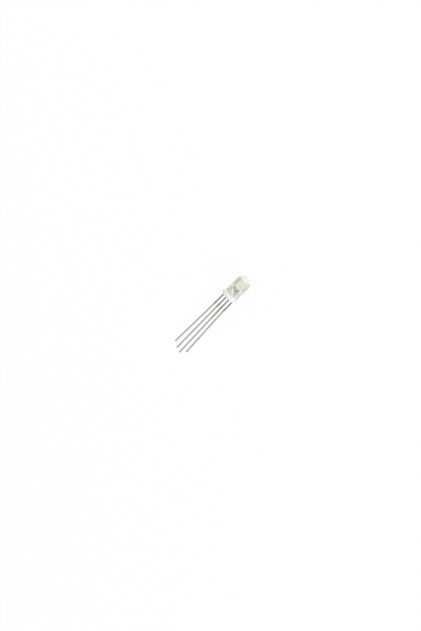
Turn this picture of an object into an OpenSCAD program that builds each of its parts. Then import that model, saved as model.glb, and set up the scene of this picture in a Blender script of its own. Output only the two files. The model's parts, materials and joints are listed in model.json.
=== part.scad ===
// A clear 5 mm round LED with four leads and three colours, cast round a stamped lead frame.
// It lies on its side as it comes to rest: on the edge of its flange and on the tips of its two
// longest leads, with the domed end towards +X and the row of leads level with the floor.
// Each piece is drawn upright first, with Z up the LED's axis from the flange's underside to the
// dome and X along the row of leads towards the flat, and then laid down by lay().

/* [Lens] */
// Diameter of the clear barrel and of the dome on it
lens_d = 5; // [4.8:0.1:6]
// Length of the straight barrel, from the flange to the start of the dome
barrel_h = 5.5; // [5:0.1:7]
// Thickness of the flange
flange_h = 1; // [0.8:0.05:1.4]
// How far the flange stands out past the barrel
flange_lip = 0.45; // [0.4:0.05:0.8]
// How far the flat on the flange's rim stays outside the barrel
flat_margin = 0.1; // [0.05:0.05:0.3]
// Radius in the corner between the flange and the barrel
corner_r = 0.15; // [0.05:0.05:0.2]
// Radius on the upper edge of the flange
edge_r = 0.08; // [0.04:0.02:0.14]
// Depth of the dish that the resin shrinks to in the underside
dish_h = 0.15; // [0.1:0.01:0.3]
// Width of the flat ring left round the dish, measured inward from the barrel's radius
dish_inset = 0.02; // [0:0.01:0.08]
// Width of the dish's sloping side
dish_slope = 0.2; // [0.1:0.01:0.24]
// How far the resin spreads from a lead's corners where it climbs it
climb_w = 0.14; // [0.08:0.01:0.2]
// How far that spread still reaches where the climb stops
climb_edge = 0.03; // [0.02:0.01:0.06]
// How far inside the seat plane the resin's climb stops
climb_gap = 0.03; // [0.01:0.01:0.08]

/* [Lead frame] */
// Thickness of the sheet that the frame is stamped from
sheet_t = 0.5; // [0.4:0.02:0.56]
// Width of a lead
lead_w = 0.5; // [0.4:0.02:0.56]
// Distance from lead to lead
lead_pitch = 1.27; // [1.2:0.01:1.3]
// Reach of the common lead below the flange
common_reach = 24.2; // [18:0.1:30]
// How much shorter the green lead is than the common lead
green_short = 0.6; // [0.3:0.05:0.65]
// How much shorter the blue lead is than the common lead
blue_short = 1.7; // [1.4:0.1:3]
// How much shorter the red lead is than the common lead
red_short = 1.7; // [0.5:0.1:3]
// Distance from the flange down to the middle of the cut-off tie bar
tie_z = 4; // [3:0.1:6]
// Height of the stubs that the tie bar leaves
tie_h = 0.8; // [0.5:0.05:1.2]
// How far each stub stands out from its lead
tie_w = 0.06; // [0.04:0.01:0.2]
// Angle that the common lead is bent sideways below the tie bar, in degrees
common_splay = 1.9; // [1.2:0.1:2.4]
// Angle that the green lead is bent sideways, in degrees
green_splay = 0.7; // [0:0.1:1]
// Angle that the blue lead is bent sideways, in degrees
blue_splay = -1.1; // [-2.6:0.1:0]
// Angle that the red lead is bent sideways, in degrees
red_splay = 2.9; // [2:0.1:4]

/* [Reflector cup and web] */
// Height of the cup's rim above the flange's underside
rim_z = 4.3; // [4:0.05:4.8]
// Depth of the bowl in the cup
bowl_h = 0.5; // [0.35:0.05:0.6]
// Lean of the bowl's side from the cup's axis, in degrees
bowl_lean = 25; // [15:1:35]
// Wall of the cup at its rim
rim_wall = 0.1; // [0.06:0.01:0.16]
// How far the flats on the cup's front and back stay outside the bowl's floor
flats_lip = 0.035; // [0.02:0.005:0.1]
// Height of the cup's straight outer wall
skirt_h = 0.6; // [0.5:0.05:0.8]
// Height of the cone that joins the cup to its web
cone_h = 0.5; // [0.3:0.05:0.7]
// Width of the narrow neck below the web
neck_w = 0.4; // [0.3:0.02:0.48]
// Height at which the neck begins, where the resin grips the frame
neck_z = 0.8; // [0.5:0.05:1]
// Height at which the web begins to widen
web_z = 1.45; // [1.2:0.05:1.8]
// How far the web's top stays inside the cup's skirt
web_inset = 0.03; // [0.01:0.01:0.1]

/* [Lead heads] */
// Gap between the web's slanted edge and the green head beside it
frame_gap = 0.26; // [0.2:0.01:0.36]
// Width of the land on top of the green head
green_land_w = 0.3; // [0.2:0.02:0.36]
// Gap seen from above between the cup and the green land
land_gap = 0.04; // [0.02:0.01:0.1]
// How far the green land lies below the rim
green_drop = 1; // [0.85:0.05:1.3]
// How far the blue land lies below the rim
blue_drop = 1.3; // [1:0.05:1.6]
// How far the red land lies below the rim
red_drop = 1.7; // [1.4:0.05:2]
// How far the outer heads widen inward
flag_w = 0.33; // [0.2:0.01:0.36]
// Height of the underside of every head
flag_z = 1.1; // [0.9:0.05:1.2]
// Height that the widened part of an outer head rises to, below its land
flag_drop = 0.6; // [0.4:0.05:0.7]
// Length of the slanted underside of a head
flag_slant = 0.25; // [0.1:0.05:0.3]
// Height of the upright side of the green land
land_h = 0.3; // [0.15:0.05:0.4]
// Height over which the green head leans out to its land
lean_h = 0.5; // [0.3:0.05:0.7]

/* [Chips] */
// Width of each chip
die_w = 0.28; // [0.22:0.01:0.3]
// Height of the red chip
red_die_h = 0.2; // [0.12:0.01:0.24]
// Height of the green and blue chips
clear_die_h = 0.12; // [0.08:0.01:0.18]
// Diameter of a contact pad
pad_d = 0.1; // [0.08:0.01:0.11]
// Thickness of a contact pad
pad_h = 0.01; // [0.006:0.002:0.02]
// Thickness of the paste under a chip
paste_h = 0.03; // [0.02:0.005:0.05]
// How far the paste's foot spreads past the chip's corners
paste_spread = 0.025; // [0.015:0.005:0.04]
// How far the paste's top reaches past the chip's corners
paste_edge = 0.005; // [0.002:0.001:0.01]
// Gap between neighbouring dots of paste
paste_gap = 0.03; // [0.02:0.01:0.06]
// Width of bare floor in the bowl round the dots of paste
floor_margin = 0.07; // [0.05:0.01:0.1]

/* [Bond wires] */
// Diameter of a bond wire
wire_d = 0.03; // [0.02:0.002:0.04]
// Height that a wire to a lead passes above the cup's rim
wire_clear = 0.1; // [0.06:0.01:0.2]
// Height that a wire to the bowl's floor rises above the straight line between its ends
return_rise = 0.16; // [0.1:0.01:0.25]
// Diameter of the ball that starts a wire on its chip
ball_d = 0.08; // [0.06:0.005:0.08]
// Height of that ball
ball_h = 0.03; // [0.02:0.005:0.04]
// Diameter of the pressed end of a wire
stitch_d = 0.08; // [0.06:0.005:0.1]
// Height of that pressed end
stitch_h = 0.016; // [0.01:0.002:0.02]
// How far the green and blue wires' ends lie to either side of the frame's middle plane
stitch_side = 0.1; // [0.05:0.01:0.14]

/* [Hidden] */
$fn = 64;

resin = [0.93, 0.95, 0.91, 0.35];
tinned = [0.66, 0.66, 0.63];
dark_chip = [0.24, 0.23, 0.24];
clear_chip = [0.75, 0.8, 0.72];
silver_paste = [0.62, 0.61, 0.58];
gold = [0.85, 0.68, 0.35];

// Lens
lens_r = lens_d / 2;
flange_r = lens_r + flange_lip;
flat_x = lens_r + flat_margin;
dome_z = flange_h + barrel_h;
dish_r = lens_r - dish_inset;

// Places of the leads along the row
blue_x = -1.5 * lead_pitch;
green_x = -0.5 * lead_pitch;
common_x = 0.5 * lead_pitch;
red_x = 1.5 * lead_pitch;
kink_z = tie_z + tie_h / 2;
lead_corner = norm([lead_w, sheet_t]) / 2;

// Chips on a ring, with red on the side of its own lead
die_corner = die_w * sqrt(2) / 2;
paste_r = die_corner + paste_spread;
die_ring_r = (2 * paste_r + paste_gap) / sqrt(3);
red_turn = 0;
blue_turn = 120;
green_turn = 240;

// Cup, as wide as its chips need
floor_r = die_ring_r + paste_r + floor_margin;
bowl_r = floor_r + bowl_h * tan(bowl_lean);
cup_r = bowl_r + rim_wall;
cup_depth = 2 * (floor_r + flats_lip);
floor_z = rim_z - bowl_h;
skirt_z = rim_z - skirt_h;
die_z = floor_z + paste_h;

// Web between neck and cup
neck_left = common_x - neck_w / 2;
web_foot = [neck_left, web_z];
web_top = [web_inset - cup_r, skirt_z];
web_run = web_top - web_foot;
web_slope = web_run[0] / web_run[1];
beside_web = web_foot + frame_gap * [-web_run[1], web_run[0]] / norm(web_run);

// Lands on the heads
green_top = rim_z - green_drop;
blue_top = rim_z - blue_drop;
red_top = rim_z - red_drop;
green_land_end = -cup_r - land_gap;
green_land_x = green_land_end - green_land_w / 2;

// A point of the slanted line beside the web, at height z
function beside_web_x(z) = beside_web[0] + (z - beside_web[1]) * web_slope;

// Sideways place of a lead's tip
function tip_x(x, reach, splay) = x + (reach - kink_z) * tan(splay);

// Reach of each lead below the flange
green_reach = common_reach - green_short;
blue_reach = common_reach - blue_short;
red_reach = common_reach - red_short;

// The pose at rest. The floor touches the flange's lower edge and the near corners of the common
// and the green lead's tips, so the row leans by roll and the axis by tilt.
common_tip = tip_x(common_x, common_reach, common_splay);
green_tip = tip_x(green_x, green_reach, green_splay);
red_tip = tip_x(red_x, red_reach, red_splay);
tips_slope = green_short / (common_tip - green_tip);
touch_x = common_tip - lead_w / 2;
tilt = atan((flange_r - sheet_t / 2) / (common_reach - tips_slope * touch_x));
roll = atan(tips_slope * tan(tilt));

// Where a point of the upright LED comes to lie once turned
function rolled(p) = [p[2], -p[0] * cos(roll) - p[1] * sin(roll), p[0] * sin(roll) - p[1] * cos(roll)];
function turned(p) = let (q = rolled(p))
    [q[0] * cos(tilt) - q[2] * sin(tilt), q[1], q[0] * sin(tilt) + q[2] * cos(tilt)];
low_end = turned([touch_x, -sheet_t / 2, -common_reach])[0];
high_end = turned([0, 0, dome_z])[0] + lens_r;
side_end = min(turned([red_tip + lead_w / 2, sheet_t / 2, -red_reach])[1], -flat_x);
floor_level = turned([touch_x, sheet_t / 2, -common_reach])[2];
origin = [(low_end + high_end) / 2, (side_end + flange_r) / 2, floor_level];

// Lays the upright LED down
module lay() {
    translate(-origin)
        rotate([0, -tilt, 0])
            rotate([-90 - roll, 0, 0])
                rotate([0, 90, 0])
                    children();
}

// Points along a round corner
function arc(middle, r, from, to, steps = 5) =
    [for (i = [0:steps]) let (a = from + (to - from) * i / steps) middle + r * [cos(a), sin(a)]];

// Flange, barrel and dome as one outline, turned about the axis
module shell() {
    rotate_extrude() {
        polygon(concat(
            [[0, 0], [flange_r, 0]],
            arc([flange_r - edge_r, flange_h - edge_r], edge_r, 0, 90),
            arc([lens_r + corner_r, flange_h + corner_r], corner_r, 270, 180),
            [[lens_r, dome_z], [0, dome_z]]
        ));
        translate([0, dome_z])
            intersection() {
                circle(lens_r);
                square(lens_r);
            }
    }
}

// The resin that climbs one lead inside the dish
module climb(x) {
    translate([x, 0, climb_gap])
        cylinder(h = dish_h - climb_gap, r1 = lead_corner + climb_edge, r2 = lead_corner + climb_w);
}

// What the dish takes away, less the resin round the leads
module dish() {
    difference() {
        rotate_extrude()
            polygon([
                [0, -flange_h], [dish_r, -flange_h], [dish_r, 0], [dish_r - dish_slope, dish_h],
                [0, dish_h]
            ]);
        for (x = [blue_x, green_x, common_x, red_x])
            climb(x);
    }
}

// The clear casting before the frame's place in it is taken away
module casting() {
    difference() {
        shell();
        translate([flat_x, -flange_r, -flange_h])
            cube([flange_r, 2 * flange_r, 3 * flange_h]);
        dish();
    }
}

// Stamps an outline drawn as [along the row, up the axis] out of the sheet
module stamp(outline) {
    rotate([90, 0, 0])
        linear_extrude(sheet_t, center = true)
            polygon(outline);
}

// Outline of a lead below its head, from its right side round its tip to its left side
function tail(x, reach, splay) = let (
    w = lead_w / 2,
    stub = w + tie_w,
    top = -tie_z + tie_h / 2,
    end = tip_x(x, reach, splay)
) [
    [x + w, top], [x + stub, top], [x + stub, -kink_z], [x + w, -kink_z],
    [end + w, -reach], [end - w, -reach],
    [x - w, -kink_z], [x - stub, -kink_z], [x - stub, top], [x - w, top]
];

// Head of an outer lead: side is 1 where the head widens towards +X and -1 towards -X
function outer_head(x, side, top) = let (
    back = x - side * lead_w / 2,
    front = x + side * lead_w / 2,
    flag = front + side * flag_w
) [
    [back, top], [front, top], [flag, top - flag_drop],
    [flag, flag_z + flag_slant], [front, flag_z]
];

// Head of the green lead: a flag with its slanted edge along the web, leaning out to a land
function green_head() = let (
    back = green_x - lead_w / 2,
    outer = green_land_end - green_land_w,
    foot = neck_left - frame_gap
) [
    [back, green_top - land_h - lean_h], [outer, green_top - land_h], [outer, green_top],
    [green_land_end, green_top], [beside_web_x(green_top - land_h), green_top - land_h],
    [foot, beside_web[1] + (foot - beside_web[0]) / web_slope],
    [foot, flag_z + flag_slant], [foot - flag_slant, flag_z], [green_x + lead_w / 2, flag_z]
];

// Neck and slanted web of the common lead
function web() = [
    [common_x - lead_w / 2, neck_z], [neck_left, neck_z], web_foot, web_top,
    [cup_r - web_inset, skirt_z], [common_x + neck_w / 2, skirt_z - cone_h],
    [common_x + neck_w / 2, neck_z], [common_x + lead_w / 2, neck_z]
];

function mirrored(points) = [for (i = [len(points) - 1:-1:0]) points[i]];

module blue_stamping() {
    stamp(concat(tail(blue_x, blue_reach, blue_splay), outer_head(blue_x, 1, blue_top)));
}

module red_stamping() {
    stamp(concat(
        tail(red_x, red_reach, red_splay),
        mirrored(outer_head(red_x, -1, red_top))
    ));
}

module green_stamping() {
    stamp(concat(tail(green_x, green_reach, green_splay), green_head()));
}

// The cup with its bowl, headed up from the web and pressed flat at the front and back, where the
// flats cut a dip into its rim
module cup() {
    intersection() {
        rotate_extrude()
            polygon([
                [0, skirt_z - cone_h], [sheet_t / 2, skirt_z - cone_h], [cup_r, skirt_z],
                [cup_r, rim_z], [bowl_r, rim_z], [floor_r, floor_z], [0, floor_z]
            ]);
        translate([-2 * cup_r, -cup_depth / 2, 0])
            cube([4 * cup_r, cup_depth, 2 * rim_z]);
    }
}

module common_stamping() {
    stamp(concat(tail(common_x, common_reach, common_splay), web()));
    cup();
}

// Moves what follows to a chip's place in the cup
module at_die(turn) {
    rotate(turn)
        translate([die_ring_r, 0, 0])
            rotate(-turn)
                children();
}

// Middle of a chip's place
function die_place(turn) = die_ring_r * [cos(turn), sin(turn)];

// Place of a pad on a chip, towards a direction
pad_shift = die_w / 2 - pad_d / 2 - pad_h;
function pad_place(turn, towards) = die_place(turn) + pad_shift * [cos(towards), sin(towards)];

module paste_dot(turn) {
    translate([0, 0, floor_z])
        at_die(turn)
            cylinder(h = paste_h, r1 = paste_r, r2 = die_corner + paste_edge);
}

module pad(place, h) {
    translate([place[0], place[1], die_z + h])
        cylinder(h = pad_h, d = pad_d);
}

module die_block(turn, h) {
    translate([0, 0, die_z])
        at_die(turn)
            translate([-die_w / 2, -die_w / 2, 0])
                cube([die_w, die_w, h]);
}

// A chip with a single pad in the middle of its top
module dark_die() {
    die_block(red_turn, red_die_h);
    pad(die_place(red_turn), red_die_h);
}

// A chip with one pad for each of its two wires
lead_side = 180;
function return_turn(turn) = (turn + (turn > 180 ? 360 : 0)) / 2;
module clear_die(turn) {
    die_block(turn, clear_die_h);
    pad(pad_place(turn, lead_side), clear_die_h);
    pad(pad_place(turn, return_turn(turn)), clear_die_h);
}

// Share of a wire's whole rise at the share s of its run: steep at both ends and flat between
loop_power = 4;
function lift(s) = 1 - pow(abs(2 * s - 1), loop_power);

// Middle line of a wire between two points
function loop_point(from, to, rise, s) = from + (to - from) * s + [0, 0, rise * lift(s)];

// How much a wire must rise to pass over the rim at the share s of its run
function rise_over_rim(from, to, s) =
    (rim_z + wire_clear - from[2] - (to[2] - from[2]) * s) / lift(s);

// One ring of a wire's surface, square to its path, which stays in one upright plane. The path's
// direction is taken between two points a small step to either side.
wire_sides = 6;
wire_steps = 14;
small_step = 0.2 / wire_steps;
function ring(from, to, rise, i) = let (
    s = i / wire_steps,
    here = loop_point(from, to, rise, s),
    ahead = loop_point(from, to, rise, min(s + small_step, 1)),
    behind = loop_point(from, to, rise, max(s - small_step, 0)),
    along = (ahead - behind) / norm(ahead - behind),
    side = [-(to - from)[1], (to - from)[0], 0] / norm([(to - from)[0], (to - from)[1]]),
    up = cross(along, side)
) [for (k = [0:wire_sides - 1]) let (a = 360 * k / wire_sides)
    here + wire_d / 2 * (cos(a) * side + sin(a) * up)];

// A bond wire with a ball at its start and a pressed end
module bond_wire(from, to, rise) {
    points = [for (i = [0:wire_steps]) each ring(from, to, rise, i)];
    last = wire_steps * wire_sides;
    polyhedron(points, concat(
        [[for (k = [0:wire_sides - 1]) k]],
        [[for (k = [wire_sides - 1:-1:0]) last + k]],
        [for (i = [0:wire_steps - 1]) for (k = [0:wire_sides - 1]) let (
            a = i * wire_sides + k,
            b = i * wire_sides + (k + 1) % wire_sides
        ) each [[a, b + wire_sides, b], [a, a + wire_sides, b + wire_sides]]]
    ));
    translate([from[0], from[1], from[2] - ball_h / 2])
        cylinder(h = ball_h, d = ball_d);
    translate([to[0], to[1], to[2] - stitch_h / 2])
        cylinder(h = stitch_h, d = stitch_d);
}

// Start of a wire on a pad, and its end on a face at height z
function wire_start(place, h) = [place[0], place[1], die_z + h + pad_h + ball_h / 2];
function wire_end(place, z) = [place[0], place[1], z + stitch_h / 2];

// A wire over the cup's rim to a lead's land. It is highest at or before the rim.
least_crossing = 0.5;
module land_wire(from, to) {
    edge = cup_r / norm([to[0], to[1]]);
    start = norm([from[0], from[1]]) / norm([to[0], to[1]]);
    crossing = max((edge - start) / (1 - start), least_crossing);
    bond_wire(from, to, rise_over_rim(from, to, crossing));
}

module red_loop() {
    land_wire(wire_start(die_place(red_turn), red_die_h), wire_end([red_x - lead_w / 4, 0], red_top));
}

module green_loop() {
    land_wire(
        wire_start(pad_place(green_turn, lead_side), clear_die_h),
        wire_end([green_land_x, -stitch_side], green_top)
    );
}

module blue_loop() {
    land_wire(
        wire_start(pad_place(blue_turn, lead_side), clear_die_h),
        wire_end([blue_x + lead_w / 4, stitch_side], blue_top)
    );
}

// A wire from a clear chip to the bowl's floor, between its own chip and the red one
return_r = floor_r - stitch_d - floor_margin / 2;
module return_loop(turn) {
    towards = return_turn(turn);
    bond_wire(
        wire_start(pad_place(turn, towards), clear_die_h),
        wire_end(return_r * [cos(towards), sin(towards)], floor_z),
        return_rise
    );
}

// Everything that the resin is cast round
module inner_pieces() {
    common_stamping();
    red_stamping();
    green_stamping();
    blue_stamping();
    for (turn = [red_turn, green_turn, blue_turn])
        paste_dot(turn);
    dark_die();
    clear_die(green_turn);
    clear_die(blue_turn);
    red_loop();
    green_loop();
    blue_loop();
    return_loop(green_turn);
    return_loop(blue_turn);
}

module lens() {
    color(resin)
        lay()
            difference() {
                casting();
                inner_pieces();
            }
}

module common_lead() { color(tinned) lay() common_stamping(); }
module red_lead() { color(tinned) lay() red_stamping(); }
module green_lead() { color(tinned) lay() green_stamping(); }
module blue_lead() { color(tinned) lay() blue_stamping(); }
module red_die() { color(dark_chip) lay() dark_die(); }
module green_die() { color(clear_chip) lay() clear_die(green_turn); }
module blue_die() { color(clear_chip) lay() clear_die(blue_turn); }
module red_paste() { color(silver_paste) lay() paste_dot(red_turn); }
module green_paste() { color(silver_paste) lay() paste_dot(green_turn); }
module blue_paste() { color(silver_paste) lay() paste_dot(blue_turn); }
module red_wire() { color(gold) lay() red_loop(); }
module green_wire() { color(gold) lay() green_loop(); }
module blue_wire() { color(gold) lay() blue_loop(); }
module green_return_wire() { color(gold) lay() return_loop(green_turn); }
module blue_return_wire() { color(gold) lay() return_loop(blue_turn); }

lens();
common_lead();
red_lead();
green_lead();
blue_lead();
red_die();
green_die();
blue_die();
red_paste();
green_paste();
blue_paste();
red_wire();
green_wire();
blue_wire();
green_return_wire();
blue_return_wire();
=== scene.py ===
import json
import math

import bmesh
import bpy
import numpy as np
from mathutils import Matrix, Vector


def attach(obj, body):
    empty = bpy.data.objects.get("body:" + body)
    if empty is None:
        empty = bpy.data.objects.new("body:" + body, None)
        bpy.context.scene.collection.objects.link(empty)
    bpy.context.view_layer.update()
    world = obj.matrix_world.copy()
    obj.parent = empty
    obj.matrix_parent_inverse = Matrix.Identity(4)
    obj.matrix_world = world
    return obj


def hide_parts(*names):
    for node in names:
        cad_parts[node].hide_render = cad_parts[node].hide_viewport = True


bl_info = {
    "name": "Clear Four-Lead LED",
    "version": (1, 0, 0),
    "blender": (4, 5, 0),
    "location": "3D View > Sidebar > LED",
    "description": "Dresses a clear 5 mm four-lead light-emitting diode lying on a white table",
    "category": "Object",
}

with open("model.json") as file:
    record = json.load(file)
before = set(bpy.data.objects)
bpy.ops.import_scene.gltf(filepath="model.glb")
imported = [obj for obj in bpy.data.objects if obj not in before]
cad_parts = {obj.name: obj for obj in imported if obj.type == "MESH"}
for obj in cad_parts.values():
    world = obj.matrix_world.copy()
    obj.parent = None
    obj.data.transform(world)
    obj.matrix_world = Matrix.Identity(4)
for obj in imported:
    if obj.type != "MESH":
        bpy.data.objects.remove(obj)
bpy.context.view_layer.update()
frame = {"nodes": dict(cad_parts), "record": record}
NODES = frame["nodes"]
MOUNTS = {mount["name"]: mount for mount in frame["record"]["mounts"]}
COLOURS = ("red", "green", "blue")
WIRES = ("red_wire", "green_wire", "blue_wire", "green_return_wire", "blue_return_wire")
MM = 0.001
# Each lead with the depth in mm under the seat at which its plating changes to dipped tin
LEADS = {"blue_lead": 4.3, "green_lead": 4.6, "common_lead": 8.5, "red_lead": 4.2}
# Each chip's body colour, the colour of its working layer, its roughness and its clearness
CHIPS = {
    "red_die": ((0.12, 0.11, 0.11), (0.32, 0.16, 0.12), 0.25, 0.0),
    "green_die": ((0.78, 0.84, 0.76), (0.62, 0.70, 0.56), 0.15, 0.35),
    "blue_die": ((0.78, 0.82, 0.86), (0.58, 0.64, 0.74), 0.15, 0.35),
}
# The picture's width and height in pixels
PICTURE = (421, 631)


def unit(vector):
    """The vector at length one."""
    return vector / np.linalg.norm(vector)


# The LED's own axes: UP from the seat to the dome, ACROSS along the row to the flat, and DEPTH
# to the table
UP = unit(np.array(MOUNTS["barrel"]["axis"]))
SEAT_RING = np.array(MOUNTS["board_seat"]["pos_m"])
BARREL = np.array(MOUNTS["barrel"]["pos_m"])
SEAT = BARREL + UP * np.dot(SEAT_RING - BARREL, UP)
ACROSS = unit(SEAT - SEAT_RING)
DEPTH = np.cross(UP, ACROSS)


def place(x, y, z):
    """Points in the shared frame, one to a row, from their distances across, in depth and in height
    from the seat in millimetres."""
    x, y, z = np.broadcast_arrays(x, y, z)
    return SEAT + MM * (x[..., None] * ACROSS + y[..., None] * DEPTH + z[..., None] * UP)


class LedLensSettings(bpy.types.PropertyGroup):
    """Sizes of the clear casting, in millimetres, and its resin."""

    radius: bpy.props.FloatProperty(
        name="Barrel radius", description="Radius of barrel and dome in mm",
        default=MOUNTS["barrel"]["dims"]["r_mm"], min=1.0)
    dome_height: bpy.props.FloatProperty(
        name="Dome start", description="Height in mm at which the barrel turns into the dome",
        default=6.5, min=2.0)
    flange_height: bpy.props.FloatProperty(
        name="Flange thickness", description="Thickness of the flange in mm", default=1.0, min=0.2)
    flange_radius: bpy.props.FloatProperty(
        name="Flange radius", description="Radius of the flange in mm", default=2.95, min=1.0)
    flat: bpy.props.FloatProperty(
        name="Flat", description="Distance in mm from the axis to the flat", default=2.6, min=1.0)
    corner: bpy.props.FloatProperty(
        name="Corner radius", description="Radius in mm between flange and barrel",
        default=0.15, min=0.01)
    edge: bpy.props.FloatProperty(
        name="Edge radius", description="Radius in mm on the flange's upper edge",
        default=0.08, min=0.01)
    dish_radius: bpy.props.FloatProperty(
        name="Dish radius", description="Radius in mm of the dish in the underside",
        default=2.48, min=0.5)
    dish_depth: bpy.props.FloatProperty(
        name="Dish depth", description="Depth in mm of the dish in the underside",
        default=0.15, min=0.01)
    dish_slope: bpy.props.FloatProperty(
        name="Dish slope", description="Width in mm of the dish's sloping side",
        default=0.2, min=0.01)
    climb: bpy.props.FloatProperty(
        name="Climb", description="Width in mm of the resin that climbs each lead",
        default=0.14, min=0.01)
    climb_gap: bpy.props.FloatProperty(
        name="Climb gap", description="Height in mm at which that climb stops",
        default=0.03, min=0.0)
    tint: bpy.props.FloatVectorProperty(
        name="Resin colour", description="Colour of light that passes the resin", subtype="COLOR",
        default=(0.82, 0.805, 0.715), min=0.0, max=1.0)
    haze: bpy.props.FloatVectorProperty(
        name="Haze colour", description="Colour of the light that the barrel scatters",
        subtype="COLOR", default=(0.82, 0.80, 0.685), min=0.0, max=1.0)
    # Bloom is also the colour of the painted light in the streak and the spot beside the cup
    bloom: bpy.props.FloatVectorProperty(
        name="Bloom colour", description="Colour of the light that the flange and the dome scatter",
        subtype="COLOR", default=(0.98, 0.98, 0.955), min=0.0, max=1.0)
    # Painted shade: the olive cast is a darker stretch along the side away from the flat, in the
    # place of shade seen through the resin
    cast: bpy.props.FloatVectorProperty(
        name="Olive cast", description="Colour of the darker stretch along one side of the barrel",
        subtype="COLOR", default=(0.50, 0.485, 0.40), min=0.0, max=1.0)
    # Painted shade: the green cast is a slightly darker stretch along the side towards the flat
    shade: bpy.props.FloatVectorProperty(
        name="Green cast", description="Colour of the slightly darker stretch along the other side",
        subtype="COLOR", default=(0.46, 0.485, 0.39), min=0.0, max=1.0)
    bend: bpy.props.FloatProperty(
        name="Refraction", description="Refractive index of the resin", default=1.53, min=1.0)


class LedFrameSettings(bpy.types.PropertyGroup):
    """Sizes of the stamped leads, in millimetres, and their finish."""

    pitch: bpy.props.FloatProperty(
        name="Lead pitch", description="Distance in mm from lead to lead",
        default=1.27, min=0.5)
    width: bpy.props.FloatProperty(
        name="Lead width", description="Width and thickness of a lead in mm", default=0.5, min=0.1)
    rounding: bpy.props.FloatProperty(
        name="Edge rounding", description="Radius in mm on the stamped edges",
        default=0.035, min=0.0)
    plated: bpy.props.FloatVectorProperty(
        name="Plated colour", description="Colour of the leads near the lens", subtype="COLOR",
        default=(0.225, 0.222, 0.203), min=0.0, max=1.0)
    cup: bpy.props.FloatVectorProperty(
        name="Cup colour", description="Colour of the reflector cup and its web", subtype="COLOR",
        default=(0.33, 0.332, 0.310), min=0.0, max=1.0)
    heads: bpy.props.FloatVectorProperty(
        name="Head colour", description="Colour of the other leads' heads in the resin",
        subtype="COLOR", default=(0.74, 0.73, 0.69), min=0.0, max=1.0)
    tinned: bpy.props.FloatVectorProperty(
        name="Tinned colour", description="Colour of the dipped lower leads", subtype="COLOR",
        default=(0.33, 0.324, 0.30), min=0.0, max=1.0)


class LedChipSettings(bpy.types.PropertyGroup):
    """Sizes of the chips and their wires, in millimetres."""

    wire: bpy.props.FloatProperty(
        name="Wire diameter", description="Diameter of a bond wire in mm",
        default=0.03, min=0.005)
    ball: bpy.props.FloatProperty(
        name="Ball diameter", description="Diameter in mm of the ball that starts a bond wire",
        default=0.08, min=0.01)
    ball_height: bpy.props.FloatProperty(
        name="Ball height", description="Height of that ball in mm", default=0.03, min=0.005)
    stitch_height: bpy.props.FloatProperty(
        name="Stitch height", description="Height in mm of a wire's pressed end, as wide as the ball",
        default=0.016, min=0.005)
    gold: bpy.props.FloatVectorProperty(
        name="Gold colour", description="Colour of the bond wires and pads", subtype="COLOR",
        default=(0.86, 0.62, 0.27), min=0.0, max=1.0)


class LedStageSettings(bpy.types.PropertyGroup):
    """Table, light and camera."""

    seat_pixel: bpy.props.FloatVectorProperty(
        name="Seat in the picture",
        description="Pixel at which the middle of the lens's underside shows",
        size=2, default=(227.86, 297.16))
    pixels_per_mm: bpy.props.FloatProperty(
        name="Picture scale", description="Pixels to the millimetre at the LED",
        default=3.079, min=0.1)
    lean: bpy.props.FloatProperty(
        name="Camera lean", description="Angle by which the camera sees the dome's side",
        subtype="ANGLE", default=math.radians(9.0))
    turn: bpy.props.FloatProperty(
        name="Picture turn", description="Angle of the LED's axis in the picture",
        subtype="ANGLE", default=math.radians(45.0))
    distance: bpy.props.FloatProperty(
        name="Camera distance", description="Distance of the camera", subtype="DISTANCE",
        default=0.6)


def settings(name):
    """One group of the scene's settings."""
    return getattr(bpy.context.scene, name)


# Shader maths

class Socket:
    """A shader node's socket that takes part in sums, so that maths on masks reads as maths."""

    def __init__(self, recipe, socket):
        self.recipe = recipe
        self.socket = socket

    def math(self, operation, *others):
        """A Math node of the given operation on this value and the others."""
        values = dict(enumerate([self, *others]))
        return self.recipe.add("ShaderNodeMath", {"operation": operation}, values)

    def __add__(self, other):
        return self.math("ADD", other)

    def __radd__(self, other):
        return self.math("ADD", other)

    def __sub__(self, other):
        return self.math("SUBTRACT", other)

    def __rsub__(self, other):
        return self.recipe.add("ShaderNodeMath", {"operation": "SUBTRACT"}, {0: other, 1: self})

    def __mul__(self, other):
        return self.math("MULTIPLY", other)

    def __rmul__(self, other):
        return self.math("MULTIPLY", other)

    def over(self, low, high):
        """Nought below low, one above high, and smooth between."""
        values = {0: self, 1: low, 2: high, 3: 0.0, 4: 1.0}
        return self.recipe.add("ShaderNodeMapRange", {"interpolation_type": "SMOOTHSTEP"}, values)

    def under(self, low, high):
        """One below low, nought above high, and smooth between."""
        return 1.0 - self.over(low, high)

    def between(self, rise, fall):
        """Nought, then one, then nought again: smooth over the rise and over the fall."""
        return self.over(*rise) * self.under(*fall)

    def around(self, middle, core, edge):
        """One up to core away from the middle, nought beyond edge, and smooth between."""
        return (self - middle).math("ABSOLUTE").under(core, edge)


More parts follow.
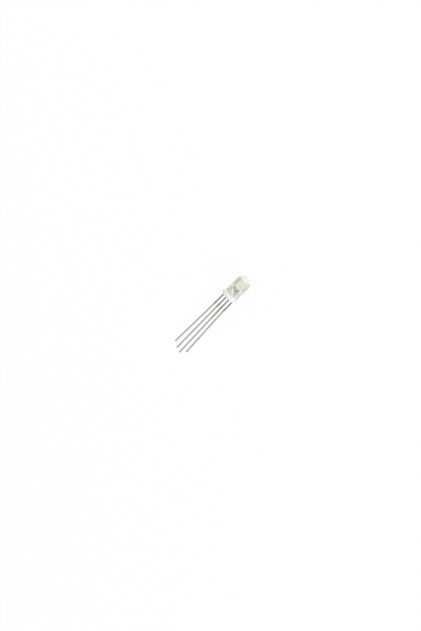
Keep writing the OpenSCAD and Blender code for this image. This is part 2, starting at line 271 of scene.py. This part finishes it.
class Recipe:
    """The nodes of a material or of the world, and the means to add to them."""

    def __init__(self, owner, output="ShaderNodeOutputMaterial"):
        self.owner = owner
        self.owner.use_nodes = True
        self.tree = owner.node_tree
        self.tree.nodes.clear()
        self.output = self.tree.nodes.new(output)
        self.coords = None

    def add(self, kind, choices=None, values=None, out=0):
        """Adds a node: its choices are set first, then its sockets' values or links."""
        node = self.tree.nodes.new(kind)
        for key, value in (choices or {}).items():
            setattr(node, key, value)
        for key, value in (values or {}).items():
            socket = node.inputs[key]
            if isinstance(value, Socket):
                self.tree.links.new(value.socket, socket)
            else:
                socket.default_value = value
        return Socket(self, node.outputs[out])

    def point(self):
        """The shaded point in the piece's own coordinates."""
        if self.coords is None:
            self.coords = self.add("ShaderNodeTexCoord", out="Object")
        return self.coords

    def along(self, axis):
        """Distance in millimetres from the seat along one of the LED's axes."""
        start = float(np.dot(SEAT, axis)) / MM
        values = {0: self.point(), 1: tuple(axis / MM)}
        product = {"operation": "DOT_PRODUCT"}
        return self.add("ShaderNodeVectorMath", product, values, out="Value") - start

    def noise(self, scales, detail=2.0, seed=0.0):
        """Noise with a scale of its own, per millimetre, across, in depth and up."""
        parts = [self.along(axis) * scale for axis, scale in zip((ACROSS, DEPTH, UP), scales)]
        where = self.add("ShaderNodeCombineXYZ", values=dict(enumerate(parts)))
        values = {"Vector": where, "W": seed, "Scale": 1.0, "Detail": detail}
        return self.add("ShaderNodeTexNoise", {"noise_dimensions": "4D"}, values)

    def mix(self, share, first, second):
        """A blend of two colours by a share. Of a Mix node's sockets, 6 and 7 take the colours and
        2 gives the blend."""
        values = {"Factor": share, 6: self.colour(first), 7: self.colour(second)}
        return self.add("ShaderNodeMix", {"data_type": "RGBA"}, values, out=2)

    @staticmethod
    def colour(value):
        """A colour with its fourth number, or a link as it is."""
        return value if isinstance(value, Socket) else (*value, 1.0)

    def bump(self, height, strength, distance):
        """A bumped normal from a height, with its distance in metres."""
        values = {"Height": height, "Strength": strength, "Distance": distance}
        return self.add("ShaderNodeBump", values=values)

    def seen(self):
        """One where the camera looks: straight, by a reflection or through the resin."""
        kinds = ("Is Camera Ray", "Is Glossy Ray", "Is Transmission Ray")
        straight, mirrored, through = (self.add("ShaderNodeLightPath", out=kind) for kind in kinds)
        return straight.math("MAXIMUM", mirrored).math("MAXIMUM", through)

    def principled(self, values):
        """A Principled shader with these sockets."""
        return self.add("ShaderNodeBsdfPrincipled", values=values)

    def blend(self, share, first, second):
        """A blend of two shaders by a share."""
        return self.add("ShaderNodeMixShader", values={0: share, 1: first, 2: second})

    def finish(self, shader):
        """Ends the nodes in a shader, and gives back what they belong to."""
        self.tree.links.new(shader.socket, self.output.inputs["Surface"])
        return self.owner


# Materials

WHITE = (1.0, 1.0, 1.0, 1.0)

# The resin's patches. A pair gives the two places in millimetres between which a soft edge runs:
# up from the seat, along the row, or out from the axis.
WALL_EDGE = (2.0, 2.4)
OVER_FLANGE = (0.1, 0.8)
INTO_DOME = (0.95, 1.7)
LOW_END = (2.0, 4.0)
FRAME_END = (4.0, 4.8)
SIDES_START, SIDES_END = (4.4, 5.2), (7.35, 8.15)
# Painted shade: the olive stretch on the side away from the flat
OLIVE_EDGE = (-1.4, -0.9)
# Painted shade: the green stretch on the side towards the flat
GREEN_EDGE, GREEN_END, GREEN_LOSS = (0.4, 1.0), (6.2, 7.6), 0.6
# Painted light: the crest, a paler patch at the dome's top away from the flat
CREST_START, CREST_EDGE = (8.1, 8.7), (-0.6, 0.4)
UPPER_HALF = (-0.5, 0.5)
# Painted light: the streak and the spot beside the cup
STREAK_START, STREAK_END = (1.3, 2.0), (3.2, 3.9)
SPOT_START, SPOT_END = (3.3, 3.8), (4.8, 5.4)
# The middle, the core's half width and the outer half width of the streak and of the spot
STREAK_WIDTH = (1.35, 0.1, 0.5)
SPOT_WIDTH = (1.45, 0.15, 0.6)

# How far the lower barrel takes the pale colour, and the green stretch of painted shade its colour:
# in the light that passes, and in the light that comes back
LOW_PALE, GREEN_PASSED, GREEN_RETURNED = 0.6, 0.5, 0.8

# The share of its light that the resin scatters, and what the flow and each patch add to it. What
# the crest, the streak and the spot add is painted light
PLAIN_SCATTER, FLOW_SCATTER = 0.16, 0.04
SCATTER = {
    "flange": 0.37, "low": 0.19, "frame": 0.06, "dome": 0.22, "crest": 0.22, "streak": 0.28,
    "spot": 0.28,
}

# The leads' soft edges in millimetres: up from the tip, up from the plating's change with how far
# that waves, and up from the seat
CUT_EDGE = (0.004, 0.02)
DIP_EDGE, DIP_WAVE = (-0.7, 0.3), 1.6
SEAT_EDGE = (0.02, 0.2)
# In the resin: where the top's colour comes in, up from the seat and across the row, across the row
# as painted light and shade, paler away from the flat and darker towards it; its least share there;
# and the web's paler part, painted light, with what it takes off
OWN_START, PAINTED_SHADE_EDGE, PAINTED_SHADE_LEAST = (0.5, 1.0), (-0.9, 0.3), 0.45
PALE_EDGE, PALE_END, PALE_LOSS = (0.0, 0.5), (3.6, 4.1), 0.8
BARE_CUT = (0.50, 0.44, 0.38)

# A chip's soft edges in millimetres from its highest point: of the working layer and of the pads
LAYER_EDGE = (-0.05, -0.03)
PAD_EDGE = (-0.009, -0.007)


def new_recipe(name):
    """An empty recipe for a new material."""
    return Recipe(bpy.data.materials.new(name))


def scaled(colour, factor):
    """The colour times a factor, with no part over one."""
    return [min(1.0, part * factor) for part in colour]


def resin_patches(recipe, lens):
    """The resin's patches as masks: the flange's wall, the lower barrel, the part with the frame
    and the dome; the crest, a paler part of the dome away from the flat, painted light; on the half
    away from the table the streak, along the line on which 0.77 side + 0.64 height has its middle
    value, and the spot, both painted light; and the olive and the green stretch past the cup, both
    painted shade."""
    height, side, depth = (recipe.along(axis) for axis in (UP, ACROSS, DEPTH))
    wall = (side * side + depth * depth).math("SQRT").over(*WALL_EDGE)
    upper_half = depth.under(*UPPER_HALF)
    slant = side * 0.77 + height * 0.64
    stretch = height.between(SIDES_START, SIDES_END)
    return {
        "flange": (height - lens.flange_height).under(*OVER_FLANGE) * wall,
        "low": height.under(*LOW_END),
        "frame": height.under(*FRAME_END),
        "dome": (height - lens.dome_height).over(*INTO_DOME),
        # Painted light: the crest, the streak and the spot. Painted shade: the olive and the green
        # stretch
        "crest": height.over(*CREST_START) * side.under(*CREST_EDGE),
        "streak": slant.around(*STREAK_WIDTH) * height.between(STREAK_START, STREAK_END) * upper_half,
        "spot": side.around(*SPOT_WIDTH) * height.between(SPOT_START, SPOT_END) * upper_half,
        "olive": side.under(*OLIVE_EDGE) * stretch,
        "green": side.over(*GREEN_EDGE) * stretch * (1.0 - height.over(*GREEN_END) * GREEN_LOSS),
    }


def resin_material():
    """Clear cast resin with a trace of flow in it, mixed with a share of resin that scatters. The
    patches set that share, and tint the light that passes and the light that comes back. The crest,
    the streak and the spot are painted light, and the olive and the green stretch painted shade."""
    recipe = new_recipe("clear_cast_resin")
    lens = settings("led_lens")
    patches = resin_patches(recipe, lens)
    flange, low, olive, green = (patches[name] for name in ("flange", "low", "olive", "green"))
    pale = flange.math("MAXIMUM", patches["dome"]).math("MAXIMUM", low * LOW_PALE)
    # The streak and the spot join the pale parts as painted light
    bright = pale.math("MAXIMUM", patches["streak"]).math("MAXIMUM", patches["spot"])
    flow = recipe.noise((0.5, 0.5, 0.35), seed=2.0)
    smear = recipe.noise((1.3, 1.3, 0.6), detail=4.0, seed=5.0).over(0.45, 0.75)
    passed = recipe.mix(flow.over(0.3, 0.7), lens.tint, scaled(lens.tint, 1.02))
    passed = recipe.mix(pale, passed, lens.bloom)
    # Painted shade: the olive and the green stretch darken the light that passes
    passed = recipe.mix(olive, passed, lens.cast)
    passed = recipe.mix(green * GREEN_PASSED, passed, lens.shade)
    # The painted light of the streak and the spot, then the painted shade of the green and the olive
    # stretch, in the light that comes back
    returned = recipe.mix(bright, lens.haze, lens.bloom)
    returned = recipe.mix(green * GREEN_RETURNED, returned, lens.shade)
    returned = recipe.mix(olive, returned, lens.cast)
    clear = recipe.principled({
        "Base Color": passed,
        "Roughness": 0.012 + smear * 0.02 + flange * 0.22 + low * 0.06,
        "IOR": lens.bend,
        "Transmission Weight": 1.0,
        "Normal": recipe.bump(flow, 0.08, 0.00002),
    })
    hazy = recipe.principled({"Base Color": returned, "Roughness": 0.25, "IOR": lens.bend})
    share = PLAIN_SCATTER + flow * FLOW_SCATTER
    # The crest, the streak and the spot raise the share as painted light
    for name, amount in SCATTER.items():
        share = share + patches[name] * amount
    return recipe.finish(recipe.blend(share, clear, hazy))


def lead_material(name, change, reach, top):
    """Plated steel, drawn along the lead: dull above the place of the change, brighter tin below
    it, and a bare cut at the tip. In the resin the colour goes from that of the heads to the given
    top's, across the row towards the flat, as painted light and shade, and less so in the web's
    paler part, which is painted light."""
    recipe = new_recipe(name)
    leads = settings("led_frame")
    height = recipe.along(UP)
    across = recipe.along(ACROSS)
    grain = recipe.noise((26.0, 26.0, 0.8), detail=3.0, seed=1.0)
    blotch = recipe.noise((1.2, 1.2, 0.45), detail=4.0, seed=reach)
    dipped = (height + (blotch - 0.5) * DIP_WAVE + change).under(*DIP_EDGE)
    cut = (height + reach).under(*CUT_EDGE)
    inside = height.over(*SEAT_EDGE)
    plated = recipe.mix(grain.over(0.35, 0.65), leads.plated, scaled(leads.plated, 0.86))
    tinned = recipe.mix(blotch.over(0.35, 0.65), leads.tinned, scaled(leads.tinned, 0.9))
    # Painted light: the web's paler part
    paler = across.under(*PALE_EDGE) * height.under(*PALE_END)
    # Painted light and shade: the top's colour comes in across the row, paler away from the flat and
    # darker towards it
    own = height.over(*OWN_START) * (PAINTED_SHADE_LEAST + across.over(*PAINTED_SHADE_EDGE) * (1.0 - PAINTED_SHADE_LEAST))
    own = own * (1.0 - paler * PALE_LOSS)
    inner = recipe.mix(own, leads.heads, top)
    silver = recipe.mix(blotch.over(0.4, 0.7) * 0.4, inner, leads.tinned)
    colour = recipe.mix(inside, recipe.mix(dipped, plated, tinned), silver)
    return recipe.finish(recipe.principled({
        "Base Color": recipe.mix(cut, colour, BARE_CUT),
        "Metallic": 1.0,
        "Roughness": 0.34 + grain * 0.12 + dipped * 0.06 + inside * 0.16 + cut * 0.2,
        "Normal": recipe.bump(grain * 0.5 + blotch, 0.25, 0.00001),
    }))


def chip_material(name, body, top, rough, clear):
    """A chip: its body, a paler working layer at its top, and gold where its pads stand up."""
    recipe = new_recipe(name)
    lowest, highest = node_span(name)
    from_top = recipe.along(UP) - highest
    pads = from_top.over(*PAD_EDGE)
    grain = recipe.noise((40.0, 40.0, 40.0), seed=lowest)
    colour = recipe.mix(from_top.over(*LAYER_EDGE), recipe.mix(grain, body, scaled(body, 0.8)), top)
    return recipe.finish(recipe.principled({
        "Base Color": recipe.mix(pads, colour, settings("led_chips").gold),
        "Metallic": pads,
        "Roughness": rough + grain * 0.15,
        "Transmission Weight": clear,
        "IOR": 1.77,
    }))


def paste_material():
    """Silver-filled paste: dull grains in a darker binder."""
    recipe = new_recipe("silver_filled_paste")
    flakes = recipe.noise((55.0, 55.0, 55.0), detail=3.0, seed=3.0)
    return recipe.finish(recipe.principled({
        "Base Color": recipe.mix(flakes.over(0.4, 0.6), (0.34, 0.33, 0.31), (0.72, 0.71, 0.68)),
        "Metallic": flakes.over(0.35, 0.55),
        "Roughness": 0.55,
        "Normal": recipe.bump(flakes, 0.5, 0.00001),
    }))


def wire_material():
    """Fine drawn gold."""
    recipe = new_recipe("fine_gold_wire")
    gold = settings("led_chips").gold
    drawn = recipe.noise((30.0, 30.0, 30.0), seed=4.0)
    return recipe.finish(recipe.principled({
        "Base Color": recipe.mix(drawn, gold, scaled(gold, 0.85)),
        "Metallic": 1.0,
        "Roughness": 0.18 + drawn * 0.1,
    }))


def table_material():
    """A white table: its own colour in the light, and nearly all white where the camera sees it."""
    recipe = new_recipe("white_table")
    grain = recipe.noise((0.02, 0.02, 0.02), seed=6.0)
    colour = recipe.mix(grain, (0.86, 0.86, 0.86), (0.88, 0.88, 0.88))
    matt = recipe.add("ShaderNodeBsdfDiffuse", values={"Color": colour})
    white = recipe.add("ShaderNodeEmission", values={"Color": WHITE, "Strength": 1.0})
    return recipe.finish(recipe.blend(recipe.seen() * 0.95, matt, white))


# Meshes

# Rings of the lens on the flat of its dish, the dish's slope and the rim, and points in a ring
UNDERSIDE_RINGS = (56, 8, 6)
RING_POINTS = 288
# The bond wires' nodes: six-sided tubes of fourteen straight steps
NODE_STEPS = 14
NODE_CORNER = math.radians(60)
# Rings and points in a ring of a drawn wire, and rings of a ball up to so near its poles
WIRE_RINGS, WIRE_POINTS = 73, 16
BALL_RINGS, BALL_REACH = 15, math.radians(88)


def node_points(node):
    """A node's points in millimetres across, in depth and up from the seat."""
    mesh = NODES[node].data
    points = np.empty(len(mesh.vertices) * 3)
    mesh.vertices.foreach_get("co", points)
    return (points.reshape(-1, 3) - SEAT) @ np.stack([ACROSS, DEPTH, UP], axis=1) / MM


def node_span(node):
    """Lowest and highest place in millimetres along the LED's axis that a node's points reach."""
    heights = node_points(node)[:, 2]
    return float(heights.min()), float(heights.max())


def link_object(name, data):
    """A new object with this data in the scene."""
    thing = bpy.data.objects.new(name, data)
    bpy.context.scene.collection.objects.link(thing)
    return thing


def add_piece(name, mesh, material, replaced):
    """Links a mesh as a piece that rides on the LED in the place of a node."""
    mesh.materials.clear()
    mesh.materials.append(material)
    piece = link_object(name, mesh)
    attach(piece, "root")
    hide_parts(replaced)
    return piece


def grid_mesh(name, *grids):
    """A mesh of closed skins. Each grid's rows are rings, joined in order and capped at both ends."""
    faces = []
    start = 0
    for points in grids:
        rows, columns = points.shape[:2]
        index = start + np.arange(rows * columns).reshape(rows, columns)
        right = np.roll(index, -1, axis=1)
        sides = np.stack([index[:-1], right[:-1], right[1:], index[1:]], axis=-1)
        faces += sides.reshape(-1, 4).tolist()
        faces += [index[0, ::-1].tolist(), index[-1].tolist()]
        start += rows * columns
    mesh = bpy.data.meshes.new(name)
    mesh.from_pydata(np.concatenate([points.reshape(-1, 3) for points in grids]), [], faces)
    return mesh


def close_mesh(mesh, gap=1e-7, sharp=math.radians(35)):
    """Merges points that coincide, turns the faces outwards and marks the sharp edges."""
    work = bmesh.new()
    work.from_mesh(mesh)
    bmesh.ops.remove_doubles(work, verts=work.verts, dist=gap)
    bmesh.ops.recalc_face_normals(work, faces=work.faces)
    work.to_mesh(mesh)
    work.free()
    mesh.shade_smooth()
    mesh.set_sharp_from_angle(angle=sharp)


def arc(middle, radius, start, end, count):
    """Points on a round corner: the middle plus the radius at evenly spaced angles."""
    angles = np.radians(np.linspace(start, end, count))
    return middle + radius * np.stack([np.cos(angles), np.sin(angles)], axis=1)


def line(start, end, count):
    """Evenly spaced points between two places, without the last."""
    return np.linspace(start, end, count, endpoint=False)


# The casting's outline: how far its ends stay off the axis in millimetres, the dome's share in
# degrees, and where ledge and barrel start past the arc before them
AXIS_GAP, DOME_TURN, LEDGE_START, BARREL_START = 1e-4, 89.99, 0.01, 0.05
# The count of points along the flange's wall, its edge, the ledge, the corner, barrel and dome
OUTLINE_POINTS = (8, 6, 5, 9, 16, 56)


def lens_outline(lens):
    """Radius and height along the casting, from the middle of its underside to the dome's top. Both
    ends stay a hair off the axis, and a cap closes each. Each stretch ends in its count of points."""
    wall, edge, shelf, corner, barrel, dome = OUTLINE_POINTS
    flange_corner = (lens.flange_radius - lens.edge, lens.flange_height - lens.edge)
    barrel_corner = (lens.radius + lens.corner, lens.flange_height + lens.corner)
    ledge = (flange_corner[0] - LEDGE_START, lens.flange_height)
    dish, slope, rim = UNDERSIDE_RINGS
    return np.concatenate([
        line((AXIS_GAP, 0.0), (lens.dish_radius - lens.dish_slope, 0.0), dish),
        line((lens.dish_radius - lens.dish_slope, 0.0), (lens.dish_radius, 0.0), slope),
        line((lens.dish_radius, 0.0), (lens.flange_radius, 0.0), rim),
        line((lens.flange_radius, 0.0), (lens.flange_radius, flange_corner[1]), wall),
        arc(flange_corner, lens.edge, 0, 90, edge),
        line(ledge, (barrel_corner[0], lens.flange_height), shelf),
        arc(barrel_corner, lens.corner, 270, 180, corner),
        line((lens.radius, barrel_corner[1] + BARREL_START), (lens.radius, lens.dome_height), barrel),
        arc((0.0, lens.dome_height), lens.radius, 0, DOME_TURN, dome),
    ])


# The four leads' places across the row in pitches, and the share of the climb's width over which
# it falls off
LEAD_STEPS, CLIMB_FALL = (-1.5, -0.5, 0.5, 1.5), 0.6


def underside_height(lens, leads, x, y, radius):
    """Height of the underside: the dish, its slope the curve 3s^2 - 2s^3, less the resin that climbs
    to each lead, by the exponential of the distance from it."""
    slope = np.clip((lens.dish_radius - radius) / lens.dish_slope, 0, 1)
    dish = lens.dish_depth * slope * slope * (3 - 2 * slope)
    half = leads.width / 2
    for step in LEAD_STEPS:
        out_x = np.maximum(np.abs(x - step * leads.pitch) - half, 0)
        out_y = np.maximum(np.abs(y) - half, 0)
        climb = np.exp(-np.hypot(out_x, out_y) / (CLIMB_FALL * lens.climb))
        dish = dish + (np.minimum(dish, lens.climb_gap) - dish) * climb
    return dish


def lens_mesh(lens, leads):
    """The casting: its outline turned about the axis, x = r cos t and y = r sin t, cut straight at
    the flat, x = flat, and with the dish and the climb of the resin as the underside's height."""
    outline = lens_outline(lens)
    turn = np.linspace(0, 2 * math.pi, RING_POINTS, endpoint=False)
    radius, turn = np.meshgrid(outline[:, 0], turn, indexing="ij")
    to_flat = lens.flat / np.maximum(np.cos(turn), 1e-3)
    radius = np.where(np.cos(turn) > 0, np.minimum(radius, to_flat), radius)
    x, y = radius * np.cos(turn), radius * np.sin(turn)
    z = np.repeat(outline[:, 1][:, None], RING_POINTS, axis=1)
    under = sum(UNDERSIDE_RINGS)
    z[:under] = underside_height(lens, leads, x[:under], y[:under], radius[:under])
    mesh = grid_mesh("lens_skin", place(x, y, z))
    close_mesh(mesh)
    return mesh


def wire_lift(share):
    """Share of its rise that a bond wire has at a share s of its run: 1 - |2s - 1| to the fourth."""
    return 1 - np.abs(2 * share - 1) ** 4


def wire_route(node, chips):
    """Start, end and rise of a bond wire, read from its node. The node is even about one upright
    plane, so its ends lie half a ball inside its furthest points along that plane, and the wire
    starts at the higher one. The rise is the least that keeps each step of the node's tube under
    the node's highest point."""
    points = node_points(node)
    flat = points[:, :2]
    middle = (flat.max(axis=0) + flat.min(axis=0)) / 2
    along = np.linalg.svd(flat - middle, full_matrices=False)[2][0]
    run = (flat - middle) @ along
    ends = []
    for edge, inward in ((run.min(), 1), (run.max(), -1)):
        foot = middle + along * (edge + inward * chips.ball / 2)
        near = np.abs(run - edge) < chips.ball / 4
        ends.append((*foot, points[near, 2].min()))
    end, start = sorted(ends, key=lambda foot: foot[2])
    start = np.array(start) + (0, 0, chips.ball_height / 2)
    end = np.array(end) + (0, 0, chips.stitch_height / 2)
    share = np.arange(1, NODE_STEPS) / NODE_STEPS
    straight = start[2] + (end[2] - start[2]) * share
    highest = points[:, 2].max() - chips.wire / 2 * math.sin(NODE_CORNER)
    return start, end, float(((highest - straight) / wire_lift(share)).min())


def wire_mesh(name, node, chips):
    """A bond wire: a round section carried along the line from start to end plus its rise, square
    to that path. The rings close up towards the ends, as s = (1 - cos pi t) / 2. At each end lies
    a squashed ball, its section the fourth-power curve between a circle and a square."""
    start, end, rise = wire_route(node, chips)
    share = (1 - np.cos(np.linspace(0, 1, WIRE_RINGS) * math.pi)) / 2
    path = start + (end - start) * share[:, None] + np.outer(rise * wire_lift(share), (0, 0, 1))
    along = np.gradient(path, axis=0)
    along /= np.linalg.norm(along, axis=1)[:, None]
    side = unit(np.array([start[1] - end[1], end[0] - start[0], 0.0]))
    up = np.cross(along, side)
    turn = np.linspace(0, 2 * math.pi, WIRE_POINTS, endpoint=False)
    round_turn = turn[:, None]
    tube = chips.wire / 2 * (np.cos(round_turn) * side + np.sin(round_turn) * up[:, None])
    grids = [path[:, None] + tube]
    tilt = np.linspace(-BALL_REACH, BALL_REACH, BALL_RINGS)[:, None]
    for middle, height in ((start, chips.ball_height), (end, chips.stitch_height)):
        out = chips.ball / 2 * np.sqrt(np.cos(tilt))
        lift = height / 2 * np.sign(tilt) * np.sqrt(np.abs(np.sin(tilt)))
        ball = np.broadcast_arrays(out * np.cos(turn), out * np.sin(turn), lift)
        grids.append(middle + np.stack(ball, axis=-1))
    mesh = grid_mesh(name, *[place(*np.moveaxis(grid, -1, 0)) for grid in grids])
    close_mesh(mesh, gap=1e-9, sharp=math.radians(60))
    return mesh


# The rounded pieces, in metres: points nearer than these are merged, before and after the Bevel
MERGE_BEFORE, MERGE_AFTER = 2e-6, 2e-7
# In degrees: faces that turn less are one, edges that turn more are rounded or shaded as sharp
FLAT_TURN, ROUNDED_TURN, SHARP_TURN = 1.0, 30, 40
ROUNDING_STEPS = 3


def rounded_copy(node, name, rounding, material):
    """A stamped piece like the node, its faces merged to whole ones and its edges rounded."""
    mesh = NODES[node].data.copy()
    mesh.name = name
    work = bmesh.new()
    work.from_mesh(mesh)
    bmesh.ops.remove_doubles(work, verts=work.verts, dist=MERGE_BEFORE)
    bmesh.ops.dissolve_limit(
        work, angle_limit=math.radians(FLAT_TURN), verts=work.verts, edges=work.edges,
        delimit={"NORMAL"})
    work.to_mesh(mesh)
    work.free()
    if mesh.has_custom_normals:
        mesh.attributes.remove(mesh.attributes["custom_normal"])
    mesh.shade_smooth()
    mesh.set_sharp_from_angle(angle=math.radians(SHARP_TURN))
    piece = add_piece(name, mesh, material, node)
    bevel = piece.modifiers.new("stamped_edges", "BEVEL")
    bevel.width = rounding * MM
    bevel.segments = ROUNDING_STEPS
    bevel.limit_method = "ANGLE"
    bevel.angle_limit = math.radians(ROUNDED_TURN)
    # Where two rounded edges run out into each other, the Bevel leaves points that coincide
    weld = piece.modifiers.new("merged_points", "WELD")
    weld.merge_threshold = MERGE_AFTER
    return piece


def dress(node, material):
    """Gives a node's object a material."""
    NODES[node].data.materials.clear()
    NODES[node].data.materials.append(material)


# Stage

# The table's radius and how far it lies under the LED's lowest point, in metres
TABLE_RADIUS, TABLE_DROP = 3.0, 0.00001
# The surrounding's colour and strength as a light
STUDIO_COLOUR, STUDIO_STRENGTH = (0.9, 0.92, 0.95, 1.0), 0.35
# Each soft box: its place and width in metres and its power in watts
SOFT_BOXES = {
    "right_box": ((-0.1, -0.6, 0.5), 0.7, 3.6),
    "left_box": ((-0.1, 0.6, 0.45), 0.7, 1.7),
    "dome_box": ((0.65, 0.0, 0.5), 0.6, 3.4),
}


def add_table():
    """A round white table, level with the lowest point of the LED."""
    turn = np.linspace(0, 2 * math.pi, 96, endpoint=False)
    ring = np.stack([np.cos(turn), np.sin(turn), 0 * turn], axis=1) * TABLE_RADIUS
    mesh = bpy.data.meshes.new("table")
    mesh.from_pydata(ring - (0, 0, TABLE_DROP), [], [list(range(len(ring)))])
    table = link_object("table", mesh)
    table.data.materials.append(table_material())


def add_world():
    """A plain pale surrounding as a light, and white where the camera sees it."""
    world = bpy.data.worlds.new("studio")
    bpy.context.scene.world = world
    recipe = Recipe(world, "ShaderNodeOutputWorld")
    values = {"Color": STUDIO_COLOUR, "Strength": STUDIO_STRENGTH}
    studio = recipe.add("ShaderNodeBackground", values=values)
    white = recipe.add("ShaderNodeBackground", values={"Color": WHITE, "Strength": 1.0})
    recipe.finish(recipe.blend(recipe.seen(), studio, white))


def add_lights():
    """Wide soft boxes to either side of the LED, the right one stronger, and one past its dome."""
    for name, (where, width, power) in SOFT_BOXES.items():
        data = bpy.data.lights.new(name, "AREA")
        data.shape = "SQUARE"
        data.size = width
        data.energy = power
        lamp = link_object(name, data)
        lamp.location = where
        lamp.rotation_mode = "QUATERNION"
        lamp.rotation_quaternion = (-Vector(where)).to_track_quat("-Z", "Y")


# The camera's sensor in millimetres, and the nearest and farthest that it sees in metres
SENSOR_WIDTH, CLIP_START, CLIP_END = 36.0, 0.01, 10.0


def add_camera(stage):
    """A camera that looks down on the LED, with a long lens, framed by the seat's pixel."""
    axis_up = Vector(UP)
    toward = axis_up * math.sin(stage.lean) - Vector(DEPTH) * math.cos(stage.lean)
    toward.normalize()
    axis = axis_up - toward * toward.dot(axis_up)
    axis.normalize()
    side = axis.cross(toward)
    right = axis * math.cos(stage.turn) + side * math.sin(stage.turn)
    up = toward.cross(right)
    pixel = MM / stage.pixels_per_mm
    off_x = (PICTURE[0] / 2 - stage.seat_pixel[0] - 0.5) * pixel
    off_y = (stage.seat_pixel[1] + 0.5 - PICTURE[1] / 2) * pixel
    data = bpy.data.cameras.new("camera")
    data.sensor_width = SENSOR_WIDTH
    data.lens = data.sensor_width * stage.distance / (PICTURE[1] * pixel)
    data.clip_start = CLIP_START
    data.clip_end = CLIP_END
    camera = link_object("camera", data)
    camera.location = Vector(SEAT) + right * off_x + up * off_y + toward * stage.distance
    camera.rotation_mode = "QUATERNION"
    camera.rotation_quaternion = Matrix((right, up, toward)).transposed().to_quaternion()
    bpy.context.scene.camera = camera


# Operators

class LED_OT_lens(bpy.types.Operator):
    """Casts the clear lens in the place of the plain one"""

    bl_idname = "led.lens"
    bl_label = "Lens"

    def execute(self, context):
        mesh = lens_mesh(settings("led_lens"), settings("led_frame"))
        add_piece("lens_skin", mesh, resin_material(), "lens")
        return {"FINISHED"}


class LED_OT_leads(bpy.types.Operator):
    """Makes the four stamped leads with their rounded edges and plating"""

    bl_idname = "led.leads"
    bl_label = "Leads"

    def execute(self, context):
        leads = settings("led_frame")
        for node, change in LEADS.items():
            reach = -node_span(node)[0]
            top = leads.cup if node == "common_lead" else leads.heads
            material = lead_material(node + "_plating", change, reach, top)
            rounded_copy(node, node + "_stamping", leads.rounding, material)
        return {"FINISHED"}


class LED_OT_chips(bpy.types.Operator):
    """Finishes the chips, the paste under them and their wires"""

    bl_idname = "led.chips"
    bl_label = "Chips and wires"

    def execute(self, context):
        for node, finish in CHIPS.items():
            dress(node, chip_material(node, *finish))
        paste = paste_material()
        gold = wire_material()
        for colour in COLOURS:
            dress(colour + "_paste", paste)
        for node in WIRES:
            mesh = wire_mesh(node + "_drawn", node, settings("led_chips"))
            add_piece(node + "_drawn", mesh, gold, node)
        return {"FINISHED"}


class LED_OT_stage(bpy.types.Operator):
    """Sets the white table, the soft light and the camera"""

    bl_idname = "led.stage"
    bl_label = "Table, light and camera"

    def execute(self, context):
        add_table()
        add_world()
        add_lights()
        add_camera(settings("led_stage"))
        return {"FINISHED"}


class LED_PT_panel(bpy.types.Panel):
    """Lists what can be made"""

    bl_idname = "LED_PT_panel"
    bl_label = "Clear LED"
    bl_space_type = "VIEW_3D"
    bl_region_type = "UI"
    bl_category = "LED"

    def draw(self, context):
        for operator in OPERATORS:
            self.layout.operator(operator.bl_idname)
        for name in GROUPS:
            group = getattr(context.scene, name)
            box = self.layout.box()
            for key in group.__annotations__:
                box.prop(group, key)


OPERATORS = (LED_OT_lens, LED_OT_leads, LED_OT_chips, LED_OT_stage)
GROUPS = {
    "led_lens": LedLensSettings,
    "led_frame": LedFrameSettings,
    "led_chips": LedChipSettings,
    "led_stage": LedStageSettings,
}
CLASSES = (*GROUPS.values(), *OPERATORS, LED_PT_panel)


def register():
    """Registers the classes and puts each group of settings on the scene."""
    for cls in CLASSES:
        bpy.utils.register_class(cls)
    for name, group in GROUPS.items():
        setattr(bpy.types.Scene, name, bpy.props.PointerProperty(type=group))


def unregister():
    """Takes the settings and the classes away again."""
    for name in GROUPS:
        delattr(bpy.types.Scene, name)
    for cls in reversed(CLASSES):
        bpy.utils.unregister_class(cls)


def main():
    """Registers the add-on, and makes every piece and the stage."""
    register()
    bpy.context.scene.view_settings.view_transform = "Standard"
    bpy.ops.led.lens()
    bpy.ops.led.leads()
    bpy.ops.led.chips()
    bpy.ops.led.stage()


if __name__ == "__main__":
    main()
